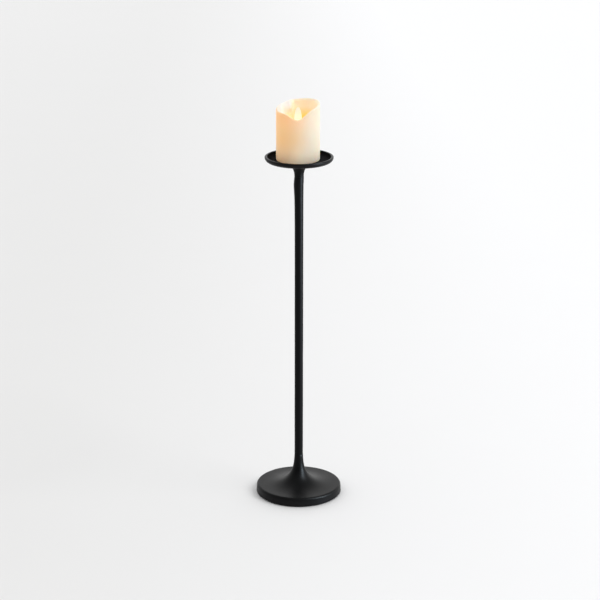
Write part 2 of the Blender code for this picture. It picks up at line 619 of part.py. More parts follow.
def make_switch(knob_finish, body_finish, parent):
    rest = -SWITCH_TRAVEL / 2
    cavity = PLATE_TOP + FIT + KNOB_CAVITY
    knob = centred_box(KNOB_LENGTH, KNOB_WIDTH, TRAY_RECESS + KNOB_RECESS, cavity - FIT)
    add_object("switch_knob", knob, knob_finish, parent, location=(rest, SWITCH_Y, 0))
    block = centred_box(SWITCH_BODY_LENGTH, SWITCH_BODY_WIDTH,
                        PLATE_TOP + FIT, PLATE_TOP + FIT + SWITCH_BODY_HEIGHT, y=SWITCH_Y)
    body = add_object("switch_body", block, body_finish, parent)
    hollow = centred_box(KNOB_LENGTH + SWITCH_TRAVEL + 4 * FIT, KNOB_WIDTH + 4 * FIT,
                         PLATE_TOP - MM, cavity, y=SWITCH_Y)
    boolean(body, add_object("switch_hollow", hollow, body_finish))


def small_screw(length):
    """Pan head screw, seated at z = 0, pointing down."""
    crown = SMALL_HEAD_RADIUS - SMALL_CHAMFER
    return turned([(0.0, SMALL_HEAD_HEIGHT), (crown, SMALL_HEAD_HEIGHT),
                   (SMALL_HEAD_RADIUS, SMALL_HEAD_HEIGHT - SMALL_CHAMFER), (SMALL_HEAD_RADIUS, 0.0),
                   (SMALL_SCREW_RADIUS, 0.0), (SMALL_SCREW_RADIUS, -length), (0.0, -length)], 12)


def make_board(board_finish, chip_finish, screw_finish, parent):
    plate = centred_box(BOARD_LENGTH, BOARD_WIDTH, BOARD_BOTTOM, BOARD_TOP)
    board = add_object("circuit_board", plate, board_finish, parent)
    chip = centred_box(CHIP_LENGTH, CHIP_WIDTH, BOARD_TOP + FIT, BOARD_TOP + FIT + CHIP_THICKNESS,
                       x=CHIP_X, y=CHIP_Y)
    add_object("control_chip", chip, chip_finish, parent)
    for number, y in ((1, -BOARD_SCREW_Y), (2, BOARD_SCREW_Y)):
        hole = rod(SMALL_SCREW_RADIUS + FIT, BOARD_BOTTOM - MM, BOARD_TOP + MM, 12)
        drill = add_object(f"board_hole_{number}", hole, board_finish)
        drill.location.y = y
        boolean(board, drill)
        screw = small_screw(BOARD_THICKNESS + BOARD_BOSS_HEIGHT - SMALL_TIP_SPARE)
        add_object(f"board_screw_{number}", screw, screw_finish, parent, (0, y, BOARD_TOP + FIT))


def make_mechanism_base(finish, screw_finish, parent):
    plate = centred_box(CARRIER_LENGTH, TOWER_WIDTH, CARRIER_BOTTOM, CARRIER_TOP)
    carrier = add_object("mechanism_base", plate, finish, parent)
    center = add_object("carrier_center", rod(CORE_RADIUS + FIT, CARRIER_BOTTOM - MM,
                                              CARRIER_TOP + MM), finish)
    boolean(carrier, center)
    for number, x in ((1, -POST_X), (2, POST_X)):
        hole = rod(SMALL_SCREW_RADIUS + FIT, CARRIER_BOTTOM - MM, CARRIER_TOP + MM, 12)
        drill = add_object(f"carrier_hole_{number}", hole, finish)
        drill.location.x = x
        boolean(carrier, drill)
        screw = small_screw(CARRIER_THICKNESS + POST_HEIGHT - SMALL_TIP_SPARE)
        add_object(f"mechanism_screw_{number}", screw, screw_finish, parent,
                   (x, 0, CARRIER_TOP + FIT))


def make_flame_tower(finish, parent):
    bottom = CARRIER_TOP + FIT
    tower = add_object("flame_tower", centred_box(TOWER_LENGTH, TOWER_WIDTH, bottom, TOWER_TOP),
                       finish, parent)
    inside = centred_box(TOWER_LENGTH - 2 * TOWER_WALL, TOWER_WIDTH - 2 * TOWER_WALL,
                         bottom - MM, TOWER_TOP - TOWER_WALL)
    boolean(tower, add_object("tower_inside", inside, finish))
    slot = centred_box(SLOT_LENGTH, SLOT_WIDTH, TOWER_TOP - TOWER_WALL - MM, TOWER_TOP + MM)
    boolean(tower, add_object("tower_slot", slot, finish))
    hole = add_object("tower_wire_hole", rod(PIVOT_WIRE_RADIUS + FIT, -TOWER_WIDTH, TOWER_WIDTH, 12),
                      finish)
    hole.rotation_euler.x = pi / 2
    hole.location.z = PIVOT
    boolean(tower, hole)


def make_pivot_wire(finish, parent):
    reach = TOWER_WIDTH / 2 - FIT
    wire = add_object("pivot_wire", rod(PIVOT_WIRE_RADIUS, -reach, reach, 12), finish, parent)
    wire.rotation_euler.x = pi / 2
    wire.location.z = PIVOT


def make_coil(bobbin_finish, winding_finish, core_finish, parent):
    bottom = CARRIER_TOP + FIT
    bore = CORE_RADIUS + FIT
    barrel = bore + BOBBIN_WALL
    flange_top = BOBBIN_HEIGHT - BOBBIN_FLANGE
    bobbin = [(bore, 0.0), (BOBBIN_RADIUS, 0.0), (BOBBIN_RADIUS, BOBBIN_FLANGE),
              (barrel, BOBBIN_FLANGE), (barrel, flange_top), (BOBBIN_RADIUS, flange_top),
              (BOBBIN_RADIUS, BOBBIN_HEIGHT), (bore, BOBBIN_HEIGHT)]
    add_object("coil_bobbin", turned(bobbin, MIDDLE_ROUND), bobbin_finish, parent, (0, 0, bottom))
    inner = barrel + FIT
    outer = BOBBIN_RADIUS - WINDING_INSET
    low = BOBBIN_FLANGE + FIT
    high = flange_top - FIT
    winding = [(inner, low), (outer, low), (outer, high), (inner, high)]
    add_object("coil_winding", turned(winding, MIDDLE_ROUND), winding_finish, parent, (0, 0, bottom))
    core = rod(CORE_RADIUS, CARRIER_BOTTOM, bottom + BOBBIN_HEIGHT)
    add_object("coil_core", core, core_finish, parent)


def flame_half_width(height):
    """Half the flame's width at a height above its pivot: a stem, a belly and a drawn-out tip."""
    if height <= FLAME_STEM_TOP:
        return FLAME_STEM_HALF_WIDTH
    if height <= FLAME_BELLY_HEIGHT:
        share = (height - FLAME_STEM_TOP) / (FLAME_BELLY_HEIGHT - FLAME_STEM_TOP)
        smooth = 0.5 - 0.5 * cos(pi * share)
        return FLAME_STEM_HALF_WIDTH + (FLAME_HALF_WIDTH - FLAME_STEM_HALF_WIDTH) * smooth
    share = (height - FLAME_BELLY_HEIGHT) / (FLAME_HEIGHT - FLAME_BELLY_HEIGHT)
    return FLAME_HALF_WIDTH * (1.0 - share ** FLAME_SHOULDER) ** FLAME_BLUNTNESS


def make_flame(finish, magnet_finish, parent):
    pivot = bpy.data.objects.new("flame_pivot", None)
    pivot.parent = parent
    pivot.location.z = PIVOT
    bpy.context.collection.objects.link(pivot)
    stem_bottom = -MAGNET_BELOW_PIVOT + FIT
    steps = 16
    rise = FLAME_HEIGHT - FLAME_STEM_TOP
    heights = [stem_bottom] + [FLAME_STEM_TOP + rise * sin(pi / 2 * n / steps) for n in range(steps)]
    right = [(flame_half_width(z), z) for z in heights]
    left = [(-x, z) for x, z in reversed(right)]
    outline = right + [(0.0, FLAME_HEIGHT)] + left
    shape = bmesh.new()
    points = [shape.verts.new((x, -FLAME_THICKNESS / 2, z)) for x, z in outline]
    front = shape.faces.new(points)
    grown = bmesh.ops.extrude_face_region(shape, geom=[front])
    moved = [item for item in grown["geom"] if isinstance(item, bmesh.types.BMVert)]
    bmesh.ops.translate(shape, verts=moved, vec=(0.0, FLAME_THICKNESS, 0.0))
    flame = add_object("flame", shape, finish, pivot)
    drill = rod(PIVOT_HOLE_RADIUS, -FLAME_THICKNESS, FLAME_THICKNESS, 12)
    hole = add_object("flame_hole", drill, finish)
    hole.rotation_euler.x = pi / 2
    boolean(flame, hole)
    magnet = rod(MAGNET_RADIUS, -MAGNET_BELOW_PIVOT - MAGNET_THICKNESS, -MAGNET_BELOW_PIVOT)
    add_object("flame_magnet", magnet, magnet_finish, pivot)


def led_place():
    """Centre of the lamp's flange, so that its tip ends just under the wax ceiling."""
    tilt = radians(LED_TILT)
    tip = Vector((0.0, -LED_TIP_FORWARD, WAX_CEILING - LED_TIP_BELOW_CEILING))
    return tip - LED_LENGTH * Vector((0.0, sin(tilt), cos(tilt)))


def make_led(finish, holder_finish, parent):
    shoulder = LED_LENGTH - LED_RADIUS
    dome = arc(0.0, shoulder, LED_RADIUS, 0, 90, 4)
    outline = [(0.0, 0.0), (LED_FLANGE_RADIUS, 0.0), (LED_FLANGE_RADIUS, LED_FLANGE),
               (LED_RADIUS, LED_FLANGE)] + dome[:-1] + [(0.0, LED_LENGTH)]
    lamp = add_object("led", turned(outline, SMALL_ROUND), finish, parent, led_place())
    lamp.rotation_euler.x = -radians(LED_TILT)
    back = -TOWER_WIDTH / 2 - FIT
    top = WAX_CEILING - LED_HOLDER_BELOW_CEILING
    block = box(-LED_HOLDER_WIDTH / 2, LED_HOLDER_WIDTH / 2, back - LED_HOLDER_LENGTH, back,
                top - LED_HOLDER_HEIGHT, top)
    holder = add_object("led_holder", block, holder_finish, parent)
    bore = rod(LED_FLANGE_RADIUS + FIT, -2 * LED_LENGTH, 2 * LED_LENGTH)
    drill = add_object("led_bore", bore, holder_finish)
    drill.location = led_place()
    drill.rotation_euler.x = -radians(LED_TILT)
    boolean(holder, drill)


def build():
    clear_scene()
    iron = make_material("black_iron", (0.013, 0.013, 0.014), 0.42, 0.0)
    steel = make_material("zinc_steel", (0.55, 0.55, 0.53), 0.35, 1.0)
    felt = make_material("black_felt", (0.012, 0.012, 0.012), 0.95)
    wax = make_material("ivory_wax", (0.86, 0.73, 0.56), 0.5)
    plastic = make_material("ivory_plastic", (0.75, 0.68, 0.56), 0.45)
    black_plastic = make_material("black_plastic", (0.02, 0.02, 0.02), 0.4)
    jacket = make_material("cell_jacket", (0.05, 0.12, 0.08), 0.35)
    fibreglass = make_material("green_fibreglass", (0.03, 0.14, 0.06), 0.5)
    copper = make_material("copper_wire", (0.72, 0.33, 0.15), 0.3, 1.0)
    clear = make_material("lamp_resin", (0.9, 0.85, 0.7), 0.1)
    flame = make_material("flame_white", (0.95, 0.9, 0.78), 0.4)

    make_base_casting(iron)
    make_felt_pad(felt)
    make_stem(iron)
    make_dish(iron)
    make_base_bolt(steel)
    make_base_washers(steel)
    make_dish_screw(steel)

    candle = bpy.data.objects.new("candle_place", None)
    candle.location = (CANDLE_SIDE_SHIFT, 0.0, CANDLE_BOTTOM)
    bpy.context.collection.objects.link(candle)
    make_wax_shell(wax, candle)
    make_battery_tray(plastic, candle)
    make_battery_door(plastic, candle)
    make_cells(jacket, candle)
    make_contacts(steel, candle)
    make_contact_springs(steel, candle)
    make_switch(black_plastic, black_plastic, candle)
    make_board(fibreglass, black_plastic, steel, candle)
    make_mechanism_base(black_plastic, steel, candle)
    make_flame_tower(black_plastic, candle)
    make_pivot_wire(steel, candle)
    make_coil(black_plastic, copper, steel, candle)
    make_flame(flame, steel, candle)
    make_led(clear, black_plastic, candle)


build()
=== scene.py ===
from math import cos, exp, hypot, pi, radians, sin

import bmesh
import bpy
from mathutils import Matrix, Vector, noise


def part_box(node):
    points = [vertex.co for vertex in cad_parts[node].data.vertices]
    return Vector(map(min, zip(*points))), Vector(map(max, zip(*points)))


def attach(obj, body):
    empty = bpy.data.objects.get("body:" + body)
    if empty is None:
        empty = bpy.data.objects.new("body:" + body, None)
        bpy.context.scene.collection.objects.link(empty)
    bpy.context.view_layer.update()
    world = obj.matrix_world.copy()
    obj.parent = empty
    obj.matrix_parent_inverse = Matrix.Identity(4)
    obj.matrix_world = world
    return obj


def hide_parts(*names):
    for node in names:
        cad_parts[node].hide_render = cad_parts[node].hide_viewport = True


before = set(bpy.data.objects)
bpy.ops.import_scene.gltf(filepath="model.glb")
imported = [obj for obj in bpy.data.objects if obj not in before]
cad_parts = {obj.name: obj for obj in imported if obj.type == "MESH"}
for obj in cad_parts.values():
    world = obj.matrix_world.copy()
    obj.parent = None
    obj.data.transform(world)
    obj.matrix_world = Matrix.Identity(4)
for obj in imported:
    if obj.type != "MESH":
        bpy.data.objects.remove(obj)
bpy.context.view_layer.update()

mm = 0.001


# ---- shader helpers: expressions on wires add Math nodes, put() makes any other node

class Wire:
    def __init__(self, finish, socket):
        self.finish = finish
        self.socket = socket

    def calc(self, operation, other=None, swapped=False, clamp=False):
        pair = (other, self) if swapped else (self, other)
        sockets = {0: pair[0]} if other is None else {0: pair[0], 1: pair[1]}
        return self.finish.put("Math", {"operation": operation, "use_clamp": clamp}, sockets)

    def __add__(self, other):
        return self.calc("ADD", other)

    __radd__ = __add__

    def __sub__(self, other):
        return self.calc("SUBTRACT", other)

    def __rsub__(self, other):
        return self.calc("SUBTRACT", other, swapped=True)

    def __mul__(self, other):
        return self.calc("MULTIPLY", other)

    __rmul__ = __mul__

    def __truediv__(self, other):
        return self.calc("DIVIDE", other)

    def __neg__(self):
        return self.calc("MULTIPLY", -1.0)

    def clamped(self):
        return self.calc("ADD", 0.0, clamp=True)

    def bell(self, centre, width):
        # 1 at the centre, falling away on both sides
        away = (self - centre) / width
        return (-(away * away)).calc("EXPONENT")

    def rise(self, low, high):
        # 0 below low, 1 above high, smooth between
        settings = {"interpolation_type": "SMOOTHSTEP"}
        return self.finish.put("MapRange", settings, {"Value": self, "From Min": low, "From Max": high})


class Graph:
    def __init__(self, tree):
        self.tree = tree

    def put(self, kind, settings=None, sockets=None, out=0):
        node = self.tree.nodes.new("ShaderNode" + kind)
        for key, value in (settings or {}).items():
            if key == "stops":
                self.fillRamp(node.color_ramp, value)
            else:
                setattr(node, key, value)
        for key, value in (sockets or {}).items():
            self.feed(node.inputs[key], value)
        return Wire(self, node.outputs[out])

    def feed(self, socket, value):
        if isinstance(value, Wire):
            self.tree.links.new(value.socket, socket)
        elif isinstance(value, tuple) and len(value) == 3 and socket.type == "RGBA":
            socket.default_value = (*value, 1.0)
        else:
            socket.default_value = value

    def fillRamp(self, ramp, stops):
        while len(ramp.elements) < len(stops):
            ramp.elements.new(1.0)
        for element, (position, color) in zip(ramp.elements, stops):
            element.position = position
            element.color = (*color, 1.0)

    def axes(self, vector):
        return [self.put("SeparateXYZ", sockets={0: vector}, out=part) for part in "XYZ"]


class Finish(Graph):
    def __init__(self, name):
        self.material = bpy.data.materials.new(name)
        self.material.use_nodes = True
        super().__init__(self.material.node_tree)
        self.shader = self.tree.nodes["Principled BSDF"]

    def set(self, **values):
        for key, value in values.items():
            self.feed(self.shader.inputs[key.replace("_", " ")], value)

    def spot(self):
        # the point on the piece, in the frame's metres
        return self.put("TexCoord", out="Object")

    def shifted(self, vector, offset):
        return self.put("VectorMath", {"operation": "SUBTRACT"}, {0: vector, 1: offset})

    def stretched(self, vector, factors):
        return self.put("VectorMath", {"operation": "MULTIPLY"}, {0: vector, 1: factors})

    def reach(self, vector):
        return self.put("VectorMath", {"operation": "LENGTH"}, {0: vector}, out="Value")

    def grain(self, vector, perMetre, detail=3.0, roughness=0.5):
        sockets = {"Vector": vector, "Scale": perMetre, "Detail": detail, "Roughness": roughness}
        return self.put("TexNoise", None, sockets, out="Fac")

    def cells(self, vector, perMetre):
        return self.put("TexVoronoi", None, {"Vector": vector, "Scale": perMetre}, out="Distance")

    def mix(self, first, second, share):
        return self.put("Mix", {"data_type": "RGBA"}, {0: share, 6: first, 7: second}, out=2)

    def scaledColor(self, color, share):
        return self.put("VectorMath", {"operation": "SCALE"}, {0: color, "Scale": share})

    def sumColor(self, first, second):
        return self.put("VectorMath", {"operation": "ADD"}, {0: first, 1: second})

    def relief(self, height, strength, depth):
        sockets = {"Height": height, "Strength": strength, "Distance": depth}
        self.set(Normal=self.put("Bump", None, sockets))


# ---- mesh helpers

def ringLoft(rings, closed=False):
    # skin over rings of points; a ring of one point is a pole
    shape = bmesh.new()
    made = [[shape.verts.new(point) for point in ring] for ring in rings]
    pairs = list(zip(made, made[1:]))
    if closed:
        pairs.append((made[-1], made[0]))
    for low, high in pairs:
        count = max(len(low), len(high))
        for here in range(count):
            there = (here + 1) % count
            corners = [low[here % len(low)], low[there % len(low)],
                       high[there % len(high)], high[here % len(high)]]
            shape.faces.new(list(dict.fromkeys(corners)))
    bmesh.ops.recalc_face_normals(shape, faces=shape.faces)
    return shape


def turnedRings(outline, segments, drift=None):
    rings = []
    for radius, height in outline:
        if radius <= 0.0:
            rings.append([Vector((0.0, 0.0, height))])
            continue
        ring = []
        for step in range(segments):
            angle = 2 * pi * step / segments
            point = Vector((radius * cos(angle), radius * sin(angle), height))
            ring.append(drift(point) if drift else point)
        rings.append(ring)
    return rings


def arcPoints(centreR, centreZ, radius, start, end, steps):
    turns = [radians(start + (end - start) * step / steps) for step in range(steps + 1)]
    return [(centreR + radius * cos(turn), centreZ + radius * sin(turn)) for turn in turns]


def hollowCurve(far, near, height, power, steps, taper=0.0):
    # lies flat at the far radius and stands upright, or tapers, at the near one
    points = []
    for step in range(steps + 1):
        turn = pi / 2 * step / steps
        across = sin(turn) ** (2 / power)
        up = 1.0 - max(cos(turn), 0.0) ** (2 / power)
        points.append((far - (far - near) * across + taper * (1.0 - up) * across, height * up))
    return points


def straightPoints(first, last, steps):
    return [(first[0] + (last[0] - first[0]) * step / steps,
             first[1] + (last[1] - first[1]) * step / steps) for step in range(1, steps)]


def addPiece(name, shape, finish, body, stands=(), sharp=40.0):
    mesh = bpy.data.meshes.new(name)
    shape.to_mesh(mesh)
    shape.free()
    mesh.shade_smooth()
    mesh.set_sharp_from_angle(angle=radians(sharp))
    piece = bpy.data.objects.new(name, mesh)
    bpy.context.scene.collection.objects.link(piece)
    mesh.materials.append(finish.material)
    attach(piece, body)
    if stands:
        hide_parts(*stands)
    return piece


def cutAway(piece, shape):
    # cuts the shape out of the piece for good
    mesh = bpy.data.meshes.new("tool")
    bmesh.ops.recalc_face_normals(shape, faces=shape.faces)
    shape.to_mesh(mesh)
    shape.free()
    tool = bpy.data.objects.new("tool", mesh)
    bpy.context.scene.collection.objects.link(tool)
    step = piece.modifiers.new("cut", "BOOLEAN")
    step.operation = "DIFFERENCE"
    step.solver = "EXACT"
    step.object = tool
    bpy.context.view_layer.update()
    graph = bpy.context.evaluated_depsgraph_get()
    carved = bpy.data.meshes.new_from_object(piece.evaluated_get(graph))
    piece.modifiers.remove(step)
    piece.data = carved
    bpy.data.objects.remove(tool)
    bpy.data.meshes.remove(mesh)


def dress(finish, *names):
    for name in names:
        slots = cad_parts[name].data.materials
        slots.clear()
        slots.append(finish.material)


# ---- places that the frame gives

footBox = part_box("base_casting")
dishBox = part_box("dish")
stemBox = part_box("stem")
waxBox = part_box("wax_shell")
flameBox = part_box("flame")
footRadius = (footBox[1].x - footBox[0].x) / 2
footBottom = footBox[0].z
neckTop = footBox[1].z
dishBottom = dishBox[0].z
lipTop = dishBox[1].z
dishRadius = (dishBox[1].x - dishBox[0].x) / 2
candleX = (waxBox[0].x + waxBox[1].x) / 2
candleRadius = (waxBox[1].x - waxBox[0].x) / 2
candleBottom = waxBox[0].z
gap = 0.3 * mm


# ---- finishes

ironTune = {
    "dark": (0.0015, 0.0016, 0.0019),
    "pale": (0.0034, 0.0034, 0.0037),
    "worn": (0.012, 0.0115, 0.011),
    # painted light on the upright sides of foot and dish
    "sideLitTone": (0.0105, 0.0100, 0.0112),
    "rough": 0.41,
    "roughSpread": 0.12,
    "specular": 0.085,
    "insideRough": 0.85,
    "insideSpecular": 0.015,
    "fineSpread": 0.12,
    "rubWidth": 0.9 * mm,
    "rubShare": 0.6,
    "rubPolish": 0.08,
    "footBand": (6.0 * mm, 7.0 * mm),
    "dishBand": (6.0 * mm, 4.5 * mm),
    "reliefStrength": 0.32,
    "reliefDepth": 0.25 * mm,
}


def makeIron(name, rough, specular):
    tune = ironTune
    iron = Finish(name)
    spot = iron.spot()
    z = iron.axes(spot)[2]
    cloud = iron.grain(spot, 28.0, 4.0)
    peel = iron.grain(spot, 420.0, 2.0)
    fine = iron.grain(spot, 1900.0, 3.0, 0.6)
    pits = iron.cells(spot, 700.0).rise(0.0, 0.12)
    rubbed = z.bell(lipTop, tune["rubWidth"]) * iron.grain(spot, 160.0, 5.0, 0.7).rise(0.52, 0.68)
    tone = iron.mix(tune["dark"], tune["pale"], cloud)
    # painted light: a paler band on the upright sides of foot and dish stands in for the light those
    # sides catch
    onFoot = z.bell(*tune["footBand"])
    below, spread = tune["dishBand"]
    paintedSideLight = onFoot + z.bell(lipTop - below, spread)
    tone = iron.mix(tone, tune["sideLitTone"], (paintedSideLight * (0.55 + cloud * 0.35)).clamped())
    iron.set(Base_Color=iron.mix(tone, tune["worn"], rubbed * tune["rubShare"]))
    roughness = rough + (cloud - 0.5) * tune["roughSpread"] + (fine - 0.5) * tune["fineSpread"]
    iron.set(Roughness=roughness - rubbed * tune["rubPolish"], Metallic=0.0, Specular_IOR_Level=specular)
    iron.relief(peel * 0.7 + fine * 0.22 + pits * 0.25, tune["reliefStrength"], tune["reliefDepth"])
    return iron


waxTune = {
    "tone": (0.905, 0.795, 0.645),
    "deep": (0.865, 0.745, 0.585),
    "warm": (0.940, 0.520, 0.180),
    "pale": (0.880, 0.845, 0.780),
    "shoulderShadedTone": (0.750, 0.625, 0.470),
    "amber": (0.860, 0.540, 0.060),
    "backWallLitTone": (0.920, 0.830, 0.690),
    "glow": (1.0, 0.42, 0.10),
    "bowlGlow": (1.0, 0.60, 0.04),
    "wallGlow": (1.0, 0.84, 0.64),
    "fill": (1.0, 0.86, 0.66),
    "wallEdge": (33.0 * mm, 36.0 * mm),
    "bowlEdge": (62.0 * mm, 65.0 * mm),
    "footShade": (0.0, 45.0 * mm),
    "shoulderUp": (73.0 * mm, 94.0 * mm),
    "shoulderAcross": (-13.0 * mm, -8.0 * mm),
    "shoulderOut": (35.2 * mm, 37.0 * mm),
    "poolUp": (67.0 * mm, 88.0 * mm),
    "backUp": (76.0 * mm, 90.0 * mm),
    "soakPower": 0.15,
    "poolPower": 0.27,
    "wallPower": 0.10,
    "fillPower": 0.04,
    "scatter": 0.4,
    "scatterReach": 8.0 * mm,
}


def makeWax():
    tune = waxTune
    wax = Finish("ivoryWax")
    spot = wax.spot()
    local = wax.shifted(spot, (candleX, 0.0, candleBottom))
    x, y, z = wax.axes(local)
    cloud = wax.grain(local, 45.0, 4.0)
    streak = wax.grain(wax.stretched(local, (1.0, 1.0, 0.22)), 160.0, 3.0)
    fine = wax.grain(local, 1300.0, 3.0, 0.6)
    radius = wax.reach(wax.stretched(local, (1.0, 1.0, 0.0)))
    inside = 1.0 - radius.rise(*tune["wallEdge"])
    bowl = inside * z.rise(*tune["bowlEdge"])
    near = 1.0 - z.rise(*tune["footShade"])
    # lamp light soaking through the left of the wall, and pooling low in the bowl
    left = (x * -0.86 + y * -0.5) / candleRadius
    aside = left - near * 0.35
    soaked = aside.rise(-0.25, 1.15) * z.rise(-120.0 * mm, 45.0 * mm)
    soaked = soaked * (1.0 - z.rise(80.0 * mm, 98.0 * mm) * 0.5)
    shoulder = z.rise(*tune["shoulderUp"]) * (1.0 - x.rise(*tune["shoulderAcross"]))
    shoulder = shoulder * (1.0 - radius.rise(*tune["shoulderOut"]))
    outer = soaked * (1.0 - bowl) * (1.0 - shoulder * 0.8)
    right = x.rise(-16.0 * mm, 12.0 * mm)
    pool = bowl * (1.0 - z.rise(*tune["poolUp"])) * (0.28 + right * 0.72)
    # painted shade: besides its random mottling, the wax is darker towards the bottom, where the dish
    # shades it
    tone = wax.mix(tune["deep"], tune["tone"], cloud * 0.6 + z.rise(0.0, 60.0 * mm) * 0.4)
    tone = wax.mix(tone, tune["warm"], outer * 0.9)
    # painted light: the inner wall of the bowl is painted paler, as if lit
    tone = wax.mix(tone, tune["backWallLitTone"], bowl * (1.0 - shoulder))
    # painted light: the broad shoulder is painted pale where the key light falls on it, fading to a
    # darker, warmer tone lower down
    pale = wax.mix(tune["shoulderShadedTone"], tune["pale"], z.rise(82.0 * mm, 93.0 * mm))
    tone = wax.mix(tone, pale, shoulder)
    wax.set(Base_Color=wax.mix(tone, tune["amber"], pool))
    wax.set(Roughness=0.46 + (cloud - 0.5) * 0.14 + (fine - 0.5) * 0.1)
    wax.set(Subsurface_Weight=tune["scatter"], Subsurface_Scale=tune["scatterReach"])
    wax.set(Subsurface_Radius=(1.0, 0.55, 0.3))
    lower = near * (1.0 - bowl)
    wall = bowl * z.rise(*tune["backUp"]) * (1.0 - shoulder)
    glow = wax.sumColor(wax.scaledColor(tune["glow"], outer * tune["soakPower"]),
                        wax.scaledColor(tune["bowlGlow"], pool * tune["poolPower"]))
    glow = wax.sumColor(glow, wax.scaledColor(tune["wallGlow"], wall * tune["wallPower"]))
    # painted fill light: an even glow, a little more of it at mid height, near the foot and on the side
    # in view
    middle = x.bell(1.0 * mm, 20.0 * mm) * (1.0 - y.rise(-6.0 * mm, 6.0 * mm)) * (1.0 - bowl)
    fill = (z.bell(66.0 * mm, 30.0 * mm) + lower) * tune["fillPower"]
    fill = fill + middle * (lower * 0.09 + 0.045) + tune["fillPower"]
    glow = wax.sumColor(glow, wax.scaledColor(tune["fill"], fill))
    wax.set(Emission_Color=glow, Emission_Strength=1.0)
    wax.relief(streak * 0.5 + fine * 0.12 + cloud * 0.6, 0.25, 0.6 * mm)
    return wax


filmTune = {
    "deep": (0.90, 0.86, 0.76),
    "tone": (0.94, 0.92, 0.86),
    "lowGlow": (1.0, 0.91, 0.78),
    "highGlow": (1.0, 0.96, 0.90),
    "litLength": 26.0 * mm,
    "power": 0.38,
}


def makeFlameFilm():
    tune = filmTune
    film = Finish("flameFilm")
    spot = film.spot()
    low = flameBox[1].z - tune["litLength"]
    z = film.axes(spot)[2]
    height = z.rise(low, flameBox[1].z)
    cloud = film.grain(spot, 220.0, 2.0)
    film.set(Base_Color=film.mix(tune["deep"], tune["tone"], cloud))
    warm = film.mix(tune["lowGlow"], tune["highGlow"], height)
    film.set(Emission_Color=film.scaledColor(warm, 0.6 + 0.4 * (1.0 - height)))
    film.set(Emission_Strength=tune["power"])
    film.set(Roughness=0.35 + cloud * 0.1)
    film.relief(film.grain(spot, 900.0), 0.1, 0.2 * mm)
    return film


def makeMetal(name, tone, deep, rough, brushed=(1.0, 1.0, 6.0)):
    metal = Finish(name)
    spot = metal.spot()
    cloud = metal.grain(spot, 90.0, 4.0)
    lines = metal.grain(metal.stretched(spot, brushed), 1500.0, 2.0)
    metal.set(Base_Color=metal.mix(deep, tone, cloud), Metallic=1.0)
    metal.set(Roughness=rough + (lines - 0.5) * 0.2 + (cloud - 0.5) * 0.1)
    metal.relief(lines, 0.15, 0.1 * mm)
    return metal


def makeMoulding(name, tone, deep, rough):
    moulding = Finish(name)
    spot = moulding.spot()
    cloud = moulding.grain(spot, 60.0, 3.0)
    spark = moulding.grain(spot, 1600.0, 3.0, 0.65)
    moulding.set(Base_Color=moulding.mix(deep, tone, cloud * 0.7 + spark * 0.3))
    moulding.set(Roughness=rough + (spark - 0.5) * 0.2)
    moulding.relief(spark, 0.3, 0.15 * mm)
    return moulding


def makeFelt():
    felt = Finish("blackFelt")
    spot = felt.spot()
    fibre = felt.grain(felt.stretched(spot, (1.0, 3.0, 1.0)), 900.0, 6.0, 0.7)
    tuft = felt.cells(spot, 500.0)
    felt.set(Base_Color=felt.mix((0.006, 0.006, 0.006), (0.026, 0.025, 0.024), fibre))
    felt.set(Roughness=0.9 + (fibre - 0.5) * 0.1)
    felt.relief(fibre + tuft * 0.5, 0.6, 0.4 * mm)
    return felt


# ---- the holder

footTune = {
    "segments": 256,
    "draft": 0.6 * mm,
    "edgeHeight": 16.6 * mm,
    "edgeRound": 4.0 * mm,
    "power": 3.2,
    "taper": 3.0 * mm,
    "rimWidth": 10.0 * mm,
    "roof": 8.6 * mm,
    "neckRadius": 7.5 * mm,
    "socketRadius": 5.8 * mm,
    "socketDepth": 20.3 * mm,
    "boltRadius": 3.3 * mm,
    "boltSeat": 48.3 * mm,
    "seatRadius": 13.0 * mm,
    "roofRise": 2.5 * mm,
    "rimDraft": 1.5 * mm,
    "chamfer": 0.5 * mm,
    "neckChamfer": 0.1 * mm,
    "unevenness": 0.16 * mm,
    "lumps": 38.0,
}


def castDrift(amount, lumpsPerMetre):
    # sand-cast unevenness: each point moves a little along its own radius and height
    def drift(point):
        lump = noise.noise(point * lumpsPerMetre)
        ripple = noise.noise(point * lumpsPerMetre * 3.3 + Vector((7.0, 3.0, 1.0)))
        away = Vector((point.x, point.y, 0.0)).normalized()
        return point + away * amount * (lump + 0.35 * ripple)
    return drift


def makeFoot(iron):
    tune = footTune
    edge = footRadius - tune["draft"]
    rounding = arcPoints(edge - tune["edgeRound"], tune["edgeHeight"] - tune["edgeRound"],
                         tune["edgeRound"], 0, 82, 14)
    trumpet = hollowCurve(edge, tune["neckRadius"], neckTop - tune["edgeHeight"], tune["power"], 72,
                          tune["taper"])
    trumpet = [(r, tune["edgeHeight"] + z) for r, z in trumpet if r < edge - tune["edgeRound"]]
    shelf = straightPoints(rounding[-1], trumpet[0], 3)
    inside = footRadius - tune["rimWidth"]
    roof = tune["edgeHeight"] - tune["roof"]
    seat = neckTop - tune["boltSeat"]
    floor = neckTop - tune["socketDepth"]
    side = straightPoints((footRadius, footBottom), rounding[0], 6)
    neckEdge = [(tune["neckRadius"], neckTop - 1.2 * tune["neckChamfer"]),
                (tune["neckRadius"] - tune["neckChamfer"], neckTop)]
    under = [(tune["socketRadius"], neckTop), (tune["socketRadius"], floor),
             (tune["boltRadius"], floor), (tune["boltRadius"], seat), (tune["seatRadius"], seat),
             (inside * 0.45, roof + tune["roofRise"]), (inside - tune["rimDraft"], roof),
             (inside, footBottom)]
    chamfer = [(footRadius - tune["chamfer"], footBottom), (footRadius, footBottom + tune["chamfer"])]
    outline = chamfer + side + rounding + shelf + trumpet[:-1] + neckEdge + under
    rings = turnedRings(outline, tune["segments"], castDrift(tune["unevenness"], tune["lumps"]))
    return addPiece("castFoot", ringLoft(rings, closed=True), iron, "holder", ["base_casting"])


